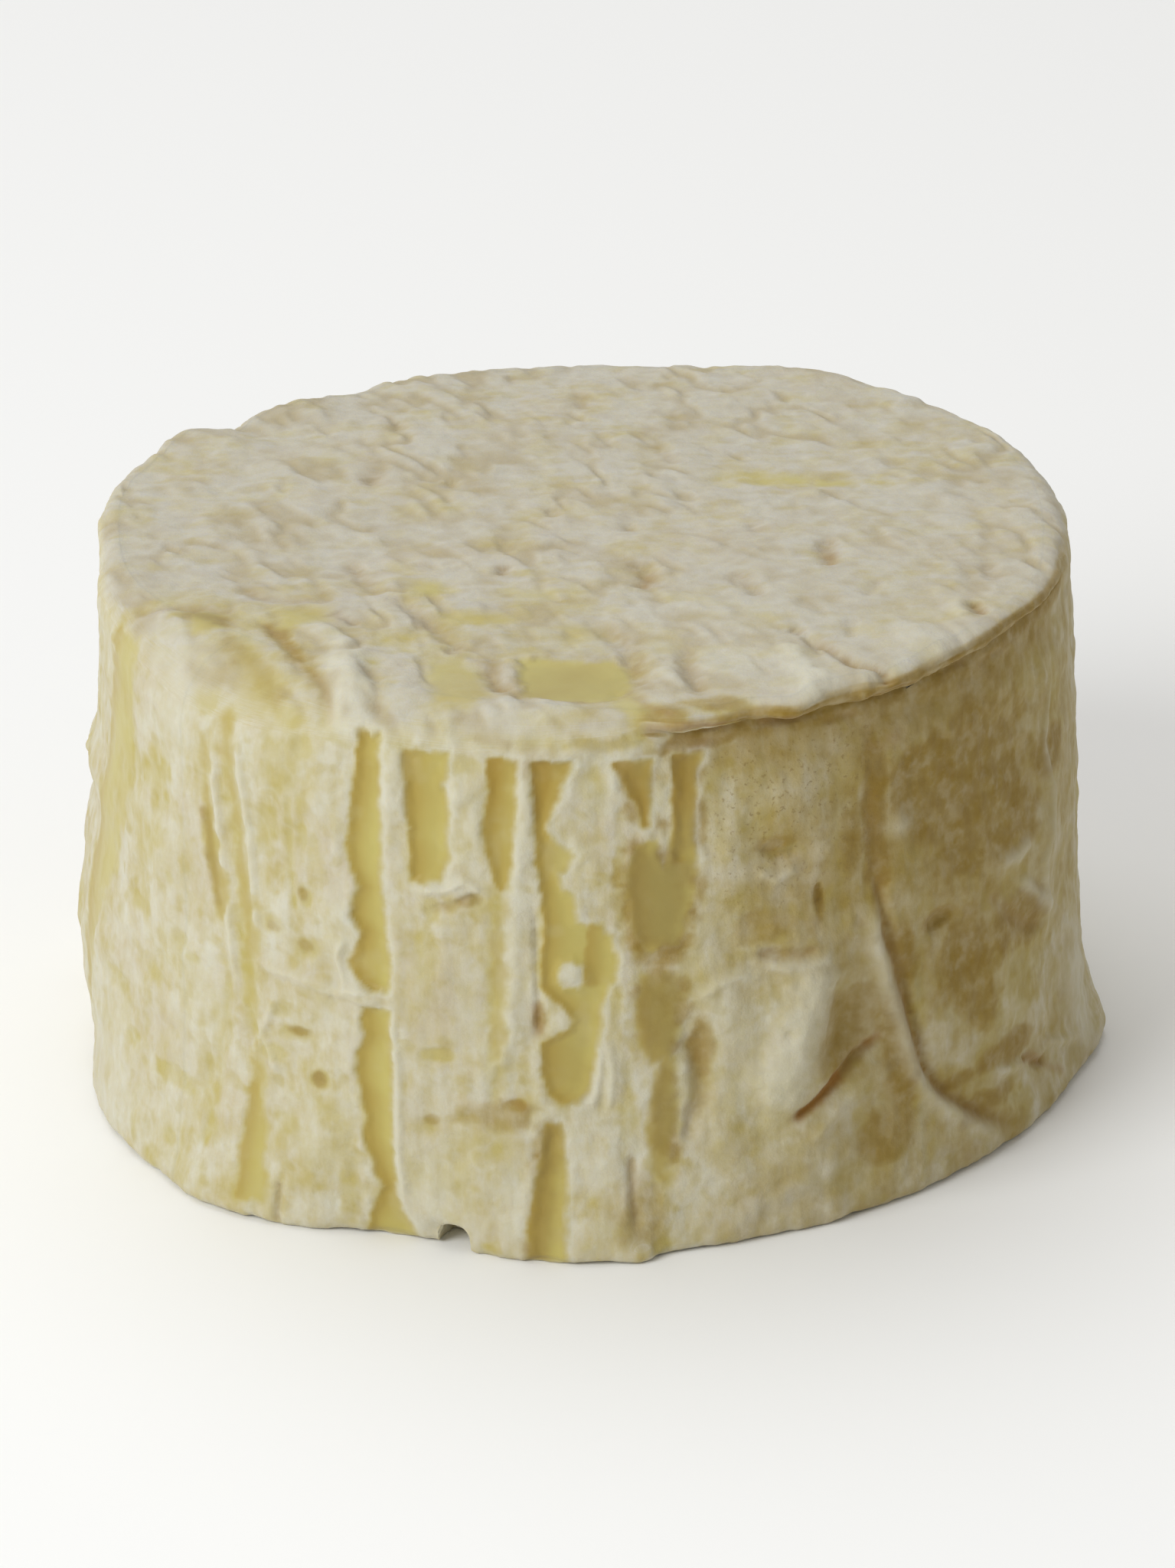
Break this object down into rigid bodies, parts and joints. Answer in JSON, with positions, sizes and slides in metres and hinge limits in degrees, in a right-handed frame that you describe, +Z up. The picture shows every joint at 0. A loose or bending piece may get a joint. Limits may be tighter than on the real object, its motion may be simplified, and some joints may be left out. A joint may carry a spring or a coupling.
{
  "type": "three-milk soft cheese",
  "caption": "Whole low drum of soft cheese in a thin bloomy rind, torn off the side in upright strips that bare smooth yellow paste, with the top rind overhanging as a lip.",
  "frame": {"origin": "middle of the bounding box's underside, in the plane that the cheese rests on", "axes": "+Z up, -Y towards the side with the pictured tears, +X to the right of it"},
  "size_m": [0.0958, 0.0966, 0.0517],
  "materials": {
    "rind": "matt, mottled white and beige bloom over yellow paste"
  },
  "bodies": {
    "root": {"cheese": "rind"}
  },
  "joints": []
}
